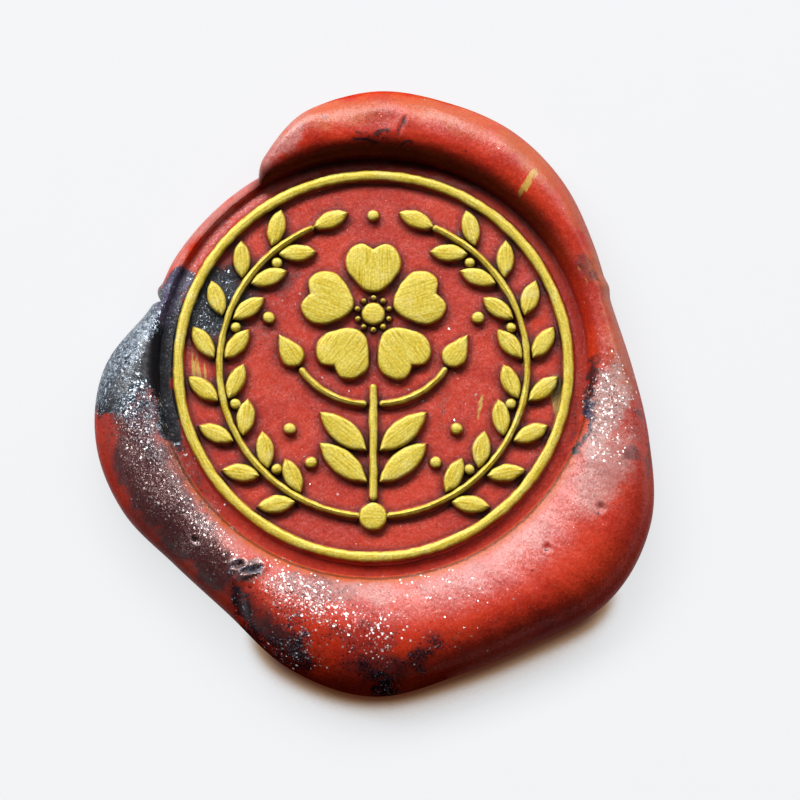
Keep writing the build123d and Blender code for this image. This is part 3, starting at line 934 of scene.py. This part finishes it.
wax = {
    "colours": {
        "red": (200, 54, 27),
        "redDeep": (182, 42, 26),
        "redPale": (212, 84, 56),
        "litOrange": (192, 98, 44),
        "plumAndShade": (80, 38, 40),
        "black": (24, 24, 33),
        "violet": (112, 98, 134),
        "soot": (36, 20, 22),
        "micaHazeAndSheen": (188, 143, 136),
        "silver": (190, 204, 216),
        "steel": (62, 74, 92),
        "mauve": (192, 162, 158),
        "mauveDeep": (78, 46, 48),
        "glintWhite": (242, 230, 226),
        "gold": (206, 178, 84),
    },
    # noises: waves to the millimetre, detail, roughness, warp
    "cloud": (0.35, 4.0, 0.6, 0.6),
    "vein": (0.9, 5.0, 0.62, 1.2),
    "fine": (4.0, 4.0, 0.65),
    "torn": (1.0, 3.0, 0.6),
    "grain": 12.0,                      # pearl grains to the millimetre
    # fades: where a change starts and ends, then its first and last value where they aren't 0 and 1
    "clouded": (0.35, 0.65),
    "flecked": (0.5, 0.8, 0.0, 0.4),
    "grainShade": (0.0, 1.0, 0.88, 1.12),
    "hazed": (0.1, 1.0, 0.0, 0.84),
    "hazeStart": (0.0, 0.3),
    "plumRagged": (0.0, 0.4, 0.0, 0.6),
    "plumDeep": (0.1, 0.85, 0.0, 0.95),
    "grainyY": (-9.0, -12.0),
    "darkChance": (0.0, 1.0, 0.3, 1.1),
    "darkCover": (0.0, 1.0, 1.0, 0.9),
    "darkRagged": (0.0, 0.3, 0.0, 0.8),
    "darkDeep": (0.36, 0.66),
    "veiled": (0.2, 0.8, 0.0, 0.6),
    "coarseCover": (0.0, 1.0, 0.1, 0.6),
    "silverOn": (0.1, 0.5),
    "whiter": (0.0, 0.7),
    "flakeOnDark": (0.0, 1.0, 0.5, 0.85),
    "flakeBright": (0.3, 0.9, 0.0, 0.9),
    "flakeTilt": (0.0, 1.0, 0.36, 0.6),
    "brushed": (1.0, 1.3),
    "creaseWidth": (0.02, 0.15, 1.0, 0.0),
    "creaseY": (2.0, -4.0),
    "nookShade": (0.55, 1.0, 1.0, 0.0),
    "openY": (9.0, 3.0),                # outside the ring, the lower and left side gets less painted shade
    "openX": (-4.0, -8.0),
    "openOut": (11.95, 12.3, 0.0, 0.75),
    "roughness": (0.2, 0.8, 0.36, 0.48),
    # shares
    "raggedFine": 0.7,
    "paintedLitWarmthShare": 0.7,
    "hazeChance": 0.8,
    "hazeRagged": 0.22,
    "plumChance": 0.3,
    "sootChance": 0.16,
    "sootShare": 0.8,
    "flakeRagged": 0.8,
    "flakeDust": 0.0015,
    "smearShare": 0.75,
    "creaseShadeDepth": 0.7,
    "foldShadeDepth": 0.85,
    "flakeMetal": 0.3,
    "flakeGloss": -0.1,
    "specular": 0.88,
    # flakes: cells to the millimetre, and how many of them show
    "fineFlakes": [(22.0, 0.6), (16.0, 0.4)],
    "coarseFlakes": 8.5,
    "whiteFlakes": (9.5, 0.36),
    "glintPower": 2.2,
    "hairs": (5.0, 1.6, 1.0),           # how the brush draws a stroke out
    "crease": 13.02,                    # radius of the fine crease outside the print, and how far it strays
    "creaseStray": 0.2,
    "creaseRise": -0.4,
    "creviceShade": (0.1, 0.12, 0.14, 1.0),  # what painted shade in a crevice leaves of each colour
    "creviceShadeReach": 0.55 * mm,
    "bump": {"Strength": 0.4, "Distance": 0.05 * mm},
    "grainTilt": 0.16,
}


def waxSockets(tree, place):
    # what the colours hang on: the marbling's fields, the place, three noises, each pearl grain's own chances
    s = {name: field(tree, name) for name in (*marbles, "foldShade", "shine")}
    s["x"], s["y"], _ = addNode(tree, "SeparateXYZ", {"Vector": place}).outputs
    level = addNode(tree, "CombineXYZ", {"X": s["x"], "Y": s["y"]}).outputs[0]
    s["outward"] = vectors(tree, "LENGTH", level)
    for name in ("cloud", "vein", "fine"):
        s[name] = noise(tree, place, *wax[name])
    s["grain"] = addNode(tree, "TexVoronoi", {"Vector": place, "Scale": wax["grain"]}).outputs["Color"]
    s["shade"], s["chance"], s["soot"] = addNode(tree, "SeparateColor", {"Color": s["grain"]}).outputs
    fine, vein = centred(tree, s["fine"]), centred(tree, s["vein"])
    s["ragged"] = sums(tree, "MULTIPLY_ADD", fine, wax["raggedFine"], vein)
    return s


def waxColour(tree, s, tone):
    # red, clouded with paler and deeper wax, orange as painted highlight where light falls strongest, each
    # grain a little lighter or darker
    colour = blendColour(tree, fade(tree, s["cloud"], *wax["clouded"]), tone["redDeep"], tone["red"])
    colour = blendColour(tree, fade(tree, s["fine"], *wax["flecked"]), colour, tone["redPale"])
    colour = blendColour(tree, times(tree, s["paintedLitWarmth"], wax["paintedLitWarmthShare"]), colour, tone["litOrange"])
    colour = vectors(tree, "SCALE", colour, fade(tree, s["shade"], *wax["grainShade"]))
    # mica haze with painted sheen, plum wax with painted shade, and dark wax: a grain turns where field,
    # noise and its own chance together pass a threshold
    chance = centred(tree, s["chance"])
    haze = sums(tree, "MULTIPLY_ADD", chance, wax["hazeChance"], s["ragged"])
    haze = fade(tree, sums(tree, "MULTIPLY_ADD", haze, wax["hazeRagged"], s["micaHazeAndSheen"]), *wax["hazed"])
    haze = times(tree, haze, fade(tree, s["micaHazeAndSheen"], *wax["hazeStart"]))
    colour = blendColour(tree, haze, colour, tone["micaHazeAndSheen"])
    plumAndShade = sums(tree, "MULTIPLY_ADD", chance, wax["plumChance"], s["ragged"])
    plumAndShade = sums(tree, "MULTIPLY_ADD", plumAndShade, fade(tree, s["plumAndShade"], *wax["plumRagged"]), s["plumAndShade"])
    colour = blendColour(tree, fade(tree, plumAndShade, *wax["plumDeep"]), colour, tone["plumAndShade"])
    sooty = sums(tree, "LESS_THAN", s["soot"], times(tree, plumAndShade, wax["sootChance"]))
    colour = blendColour(tree, times(tree, sooty, wax["sootShare"]), colour, tone["soot"])
    # the dark wax has clean edges at the lobe, grainy ones in the streaks below it, and is violet under the
    # mica haze and painted sheen
    grainy = fade(tree, s["y"], *wax["grainyY"])
    dark = sums(tree, "MULTIPLY_ADD", chance, fade(tree, grainy, *wax["darkChance"]), s["ragged"])
    dark = sums(tree, "MULTIPLY_ADD", dark, fade(tree, s["dark"], *wax["darkRagged"]), s["dark"])
    body = times(tree, fade(tree, dark, *wax["darkDeep"]), fade(tree, grainy, *wax["darkCover"]))
    veiled = blendColour(tree, fade(tree, s["micaHazeAndSheen"], *wax["veiled"]), tone["black"], tone["violet"])
    return blendColour(tree, body, colour, veiled), body


def waxFlakes(tree, s, tone, place, colour, body):
    # flat flakes of silver and mica, each a cell whose own brightness is a painted glint: silver on dark wax,
    # mauve on red, and big white ones
    density = sums(tree, "MULTIPLY_ADD", s["ragged"], wax["flakeRagged"], s["glitter"])
    density = sums(tree, "MULTIPLY_ADD", s["glitter"], density, wax["flakeDust"])
    whiteScale, whiteCover = wax["whiteFlakes"]
    layers = [(scale, density, cover) for scale, cover in wax["fineFlakes"]]
    layers.append((wax["coarseFlakes"], density, fade(tree, body, *wax["coarseCover"])))
    layers.append((whiteScale, s["glintFlakes"], whiteCover))
    mask, bright = 0.0, tone["black"]
    for scale, share, cover in layers:
        cell = addNode(tree, "TexVoronoi", {"Vector": place, "Scale": scale}).outputs["Color"]
        chance = addNode(tree, "SeparateColor", {"Color": cell}).outputs[0]
        chosen = sums(tree, "LESS_THAN", chance, times(tree, share, cover))
        mask, bright = strongest(tree, mask, chosen), blendColour(tree, chosen, bright, cell)
    big = chosen                        # the last layer's are the white ones
    green = addNode(tree, "SeparateColor", {"Color": bright}).outputs[1]
    glint = sums(tree, "POWER", green, wax["glintPower"])
    silver = blendColour(tree, glint, tone["steel"], tone["silver"])
    pearl = blendColour(tree, glint, tone["mauveDeep"], tone["mauve"])
    glintWhite = blendColour(tree, fade(tree, glint, *wax["whiter"]), tone["mauve"], tone["glintWhite"])
    flakes = blendColour(tree, fade(tree, s["dark"], *wax["silverOn"]), pearl, silver)
    flakes = blendColour(tree, big, flakes, glintWhite)
    onDark, onBright = fade(tree, body, *wax["flakeOnDark"]), fade(tree, glint, *wax["flakeBright"])
    cover = times(tree, mask, strongest(tree, onDark, onBright, big))
    return blendColour(tree, cover, colour, flakes), mask, bright


def waxPaintedShade(tree, s):
    # a fine crease runs round the lower side of the print; painted shade darkens it, the nooks and the fold
    # under the lip
    off = sums(tree, "MULTIPLY_ADD", s["vein"], wax["creaseStray"], s["outward"])
    off = sums(tree, "ABSOLUTE", sums(tree, "SUBTRACT", off, wax["crease"] + wax["creaseStray"] / 2))
    crease = times(tree, fade(tree, off, *wax["creaseWidth"]), fade(tree, s["y"], *wax["creaseY"]))
    shelter = addNode(tree, "AmbientOcclusion", {"Distance": wax["creviceShadeReach"]}, samples=6).outputs["AO"]
    lower = strongest(tree, fade(tree, s["y"], *wax["openY"]), fade(tree, s["x"], *wax["openX"]))
    airy = times(tree, lower, fade(tree, s["outward"], *wax["openOut"]))
    nookShade = times(tree, fade(tree, shelter, *wax["nookShade"]), sums(tree, "SUBTRACT", 1.0, airy))
    creased, folded = times(tree, crease, wax["creaseShadeDepth"]), times(tree, s["foldShade"], wax["foldShadeDepth"])
    shadeKept = blendColour(tree, strongest(tree, nookShade, creased, folded), (1.0, 1.0, 1.0, 1.0), wax["creviceShade"])
    return crease, shadeKept


def makeWax():
    material, tree, shader, place = newMaterial("marbledWax")
    tone = {name: linear(*colour) for name, colour in wax["colours"].items()}
    s = waxSockets(tree, place)
    colour, body = waxColour(tree, s, tone)
    colour, mask, bright = waxFlakes(tree, s, tone, place, colour, body)
    # stray strokes of gold paint, torn by the brush
    hairs = addNode(tree, "Mapping", {"Vector": place, "Scale": wax["hairs"]}).outputs[0]
    torn = sums(tree, "ADD", s["smear"], noise(tree, hairs, *wax["torn"]))
    painted = times(tree, fade(tree, torn, *wax["brushed"]), wax["smearShare"])
    colour = blendColour(tree, painted, colour, tone["gold"])
    # painted shade darkens the colour in the crease, the nooks and the fold
    crease, shadeKept = waxPaintedShade(tree, s)
    tree.links.new(vectors(tree, "MULTIPLY", colour, shadeKept), shader.inputs["Base Color"])
    tree.links.new(times(tree, mask, wax["flakeMetal"]), shader.inputs["Metallic"])
    rougher = fade(tree, s["fine"], *wax["roughness"])
    rougher = sums(tree, "MULTIPLY_ADD", mask, wax["flakeGloss"], rougher)
    tree.links.new(rougher, shader.inputs["Roughness"])
    tree.links.new(times(tree, s["shine"], wax["specular"]), shader.inputs["Specular IOR Level"])
    # surface: soft unevenness, then each pearl grain and each flake tilted its own way
    rise = sums(tree, "MULTIPLY_ADD", crease, wax["creaseRise"], s["fine"])
    bump = addNode(tree, "Bump", {"Height": rise, **wax["bump"]}).outputs[0]
    flakeTilt = times(tree, mask, fade(tree, body, *wax["flakeTilt"]))
    for turned, reach in ((s["grain"], wax["grainTilt"]), (bright, flakeTilt)):
        tilt = vectors(tree, "SUBTRACT", turned, (0.5, 0.5, 0.5))
        bump = vectors(tree, "ADD", bump, vectors(tree, "SCALE", tilt, reach))
    tree.links.new(vectors(tree, "NORMALIZE", bump), shader.inputs["Normal"])
    return material


gold = {
    "colours": {
        "bright": (236, 218, 102),
        "body": (220, 189, 36),
        "thin": (100, 70, 6),
        # pale gold of rubbed paint, also used as painted highlight
        "worn": (232, 219, 146),
    },
    "strokes": (0.7, 9.0, 1.0),         # waves along and across a brush stroke
    # noises and fades as for the wax
    "hair": (1.0, 4.0, 0.6),
    "patch": (0.8, 3.0, 0.6),
    "powder": (7.0, 2.0, 0.6),
    "brushed": (0.35, 0.65),
    "gaps": (0.28, 0.42, 0.5, 0.0),
    "rubbedAndHighlit": (0.55, 0.75, 0.0, 0.55),
    "mottle": (0.3, 0.7, 0.78, 1.12),
    "roughness": (0.3, 0.7, 0.37, 0.54),
    "flank": (0.34, 0.54),              # above the face, where the paint is thin with painted shade and where it covers
    "flankStray": 0.12,
    "flankThinShade": 0.8,
    "metallic": 0.12,
    "hairBump": {"Strength": 0.5, "Distance": 0.03 * mm},
    "powderBump": {"Strength": 0.35, "Distance": 0.03 * mm},
}


def makeGold():
    material, tree, shader, place = newMaterial("goldPaint")
    tone = {name: linear(*colour) for name, colour in gold["colours"].items()}
    stroke = addNode(tree, "UVMap", uv_map="stroke").outputs[0]
    along = addNode(tree, "Mapping", {"Vector": stroke, "Scale": gold["strokes"]}).outputs[0]
    hair = noise(tree, along, *gold["hair"])
    patch, powder = (noise(tree, place, *gold[name]) for name in ("patch", "powder"))
    colour = blendColour(tree, fade(tree, hair, *gold["brushed"]), tone["body"], tone["bright"])
    colour = blendColour(tree, fade(tree, hair, *gold["gaps"]), colour, tone["thin"])
    # paler in patches, as rubbed paint and as painted highlight, and mottled by the metal powder
    colour = blendColour(tree, fade(tree, patch, *gold["rubbedAndHighlit"]), colour, tone["worn"])
    colour = vectors(tree, "SCALE", colour, fade(tree, powder, *gold["mottle"]))
    # thin, darker and dull low on the flanks: thin paint where the brush missed, and painted shade
    height = addNode(tree, "SeparateXYZ", {"Vector": place}).outputs[2]
    height = sums(tree, "MULTIPLY_ADD", patch, gold["flankStray"], height)
    low, high = (levels["face"] + rise for rise in gold["flank"])
    thin = fade(tree, height, low, high, gold["flankThinShade"], 0.0)
    tree.links.new(blendColour(tree, thin, colour, tone["thin"]), shader.inputs["Base Color"])
    shader.inputs["Metallic"].default_value = gold["metallic"]
    tree.links.new(fade(tree, patch, *gold["roughness"]), shader.inputs["Roughness"])
    bump = addNode(tree, "Bump", {"Height": hair, **gold["hairBump"]}).outputs[0]
    bump = addNode(tree, "Bump", {"Height": powder, "Normal": bump, **gold["powderBump"]}).outputs[0]
    tree.links.new(bump, shader.inputs["Normal"])
    return material


# Pieces
waxMaterial, goldMaterial = makeWax(), makeGold()
shapes = layOut()
everyShape = [shape for group in shapes.values() for shape in group]
rimPiece, facePiece = makeRim(), makeFace()
reliefPiece = raiseShapes("waxRelief", everyShape, "wax")
for piece in (rimPiece, facePiece, reliefPiece):
    piece.data.materials.append(waxMaterial)
    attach(piece, "root")
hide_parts("red_wax", "dark_wax_left_lobe", "dark_wax_lower_streak", "dark_wax_right_patch")
for node, group in shapes.items():
    piece = raiseShapes(node.replace("gold_", "paint_"), group, "paint")
    piece.data.materials.append(goldMaterial)
    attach(piece, "root")
    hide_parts(node)
print("pieces made")

# Paper, light and camera
stage = {
    "paper": (242, 243, 245),
    "paperSize": 1.2,
    "paperDrop": 0.02 * mm,             # how far it lies below the seal
    "paperNoise": (0.4, 4.0),
    "paperGrain": 0.97,                 # how much of its tone the darker grain keeps
    "paperRoughness": 0.9,
    "paperSpecular": 0.2,
    "paperGlow": 0.8,                   # share of the paper's tone that no shadow reaches
    "paperBounce": 0.12,                # share of the paper's tone that lights the seal from below
    "foot": (84, 44, 26),               # warm painted shadow of the paper close under the seal
    "haloShadow": (162, 128, 96),
    "shadowSide": 281.0,                  # the direction of that painted shadow's side, in degrees
    "footReach": 4.8 * mm,
    "footClose": (0.48, 0.96, 1.0, 0.0),
    "footSpread": (0.76, 0.9),          # how squarely a place has to lie on that side
    "haloShadowShare": (0.12, 0.6),
    "footShadowShare": (0.45, 1.0),
    # azimuth, elevation, distance, size, power
    "lamps": {
        "windowLight": (111.0, 37.5, 1.0, (1.4, 0.26), 19.2),
        "sideLight": (42.0, 36.0, 1.0, (0.7, 0.4), 2.9),
    },
    "sky": 0.025,
    "elevation": 78.0,
    "distance": 0.34,
    "sensor": 36.0,
    "clip": (0.01, 10.0),
    "pixelsPerMm": 16.75,
    "frameSize": 800,
    "middlePixel": (373.3, 364.7),      # where the middle of the ring lies in the picture
}


def towardLamp(name):
    a, e = (math.radians(angle) for angle in stage["lamps"][name][:2])
    return Vector((math.cos(a) * math.cos(e), math.sin(a) * math.cos(e), math.sin(e)))


def makePaper():
    half, z = stage["paperSize"] / 2, -stage["paperDrop"]
    mesh = bpy.data.meshes.new("paper")
    corners = [(-half, -half, z), (half, -half, z), (half, half, z), (-half, half, z)]
    mesh.from_pydata(corners, [], [(0, 1, 2, 3)])
    paper = bpy.data.objects.new("paper", mesh)
    bpy.context.scene.collection.objects.link(paper)
    material, tree, shader, place = newMaterial("palePaper")
    tone, haloShadow, foot = (linear(*stage[name]) for name in ("paper", "haloShadow", "foot"))
    darker, dim = (
        tuple(stage[name] * part for part in tone[:3]) + (1.0,) for name in ("paperGrain", "paperBounce")
    )
    grain = blendColour(tree, noise(tree, place, *stage["paperNoise"]), darker, tone)
    shader.inputs["Roughness"].default_value = stage["paperRoughness"]
    shader.inputs["Specular IOR Level"].default_value = stage["paperSpecular"]
    # seen directly, in a reflection or through something clear, part of its tone is even
    rays = addNode(tree, "LightPath").outputs
    seen = strongest(tree, rays["Is Camera Ray"], rays["Is Glossy Ray"], rays["Is Transmission Ray"])
    tree.links.new(blendColour(tree, seen, dim, grain), shader.inputs["Base Color"])
    # painted shadow: close under the seal the even part is dark and warm, on the side away from the window
    sheltered = {"Distance": stage["footReach"], "Normal": towardLamp("windowLight")}
    shelter = addNode(tree, "AmbientOcclusion", sheltered, samples=16).outputs["AO"]
    turn = math.radians(stage["shadowSide"])
    side = Vector((math.cos(turn), math.sin(turn), 0.0))
    outward = vectors(tree, "NORMALIZE", vectors(tree, "MULTIPLY", place, (1.0, 1.0, 0.0)))
    facing = fade(tree, vectors(tree, "DOT_PRODUCT", outward, side), *stage["footSpread"])
    under = times(tree, fade(tree, shelter, *stage["footClose"]), facing)
    shaded = blendColour(tree, fade(tree, under, *stage["haloShadowShare"]), tone, haloShadow)
    shaded = blendColour(tree, fade(tree, under, *stage["footShadowShare"]), shaded, foot)
    glow = addNode(tree, "Emission", {"Color": shaded, "Strength": 1.0}).outputs[0]
    even = times(tree, seen, stage["paperGlow"])
    mixed = addNode(tree, "MixShader", {0: even, 1: shader.outputs[0], 2: glow}).outputs[0]
    tree.links.new(mixed, tree.nodes["Material Output"].inputs[0])
    mesh.materials.append(material)


def makeLight():
    for name, (_, _, distance, size, power) in stage["lamps"].items():
        lamp = bpy.data.lights.new(name, "AREA")
        lamp.shape, lamp.energy = "RECTANGLE", power
        lamp.size, lamp.size_y = size
        light = bpy.data.objects.new(name, lamp)
        light.location = towardLamp(name) * distance
        light.rotation_euler = towardLamp(name).to_track_quat("Z", "Y").to_euler()
        bpy.context.scene.collection.objects.link(light)
    world = bpy.data.worlds.new("softSky")
    world.use_nodes = True
    background = world.node_tree.nodes["Background"]
    background.inputs["Color"].default_value = (1.0, 1.0, 1.0, 1.0)
    background.inputs["Strength"].default_value = stage["sky"]
    bpy.context.scene.world = world


def makeCamera():
    # looks at the point of the seal that falls on the middle of the picture
    e = math.radians(stage["elevation"])
    half = stage["frameSize"] / 2
    offX = (half - stage["middlePixel"][0]) / stage["pixelsPerMm"]
    offY = (stage["middlePixel"][1] - half) / stage["pixelsPerMm"] / math.sin(e)
    target = Vector((offX, offY, levels["face"] + levels["relief"])) * mm
    away = Vector((0.0, -math.cos(e), math.sin(e)))
    lens = bpy.data.cameras.new("camera")
    lens.sensor_fit, lens.sensor_width = "HORIZONTAL", stage["sensor"]
    lens.lens = stage["sensor"] * stage["distance"] / (stage["frameSize"] / stage["pixelsPerMm"] * mm)
    lens.clip_start, lens.clip_end = stage["clip"]
    camera = bpy.data.objects.new("camera", lens)
    camera.location = target + away * stage["distance"]
    camera.rotation_euler = away.to_track_quat("Z", "Y").to_euler()
    bpy.context.scene.collection.objects.link(camera)
    bpy.context.scene.camera = camera


makePaper()
makeLight()
makeCamera()
bpy.context.scene.view_settings.view_transform = "Standard"
print("stage made")
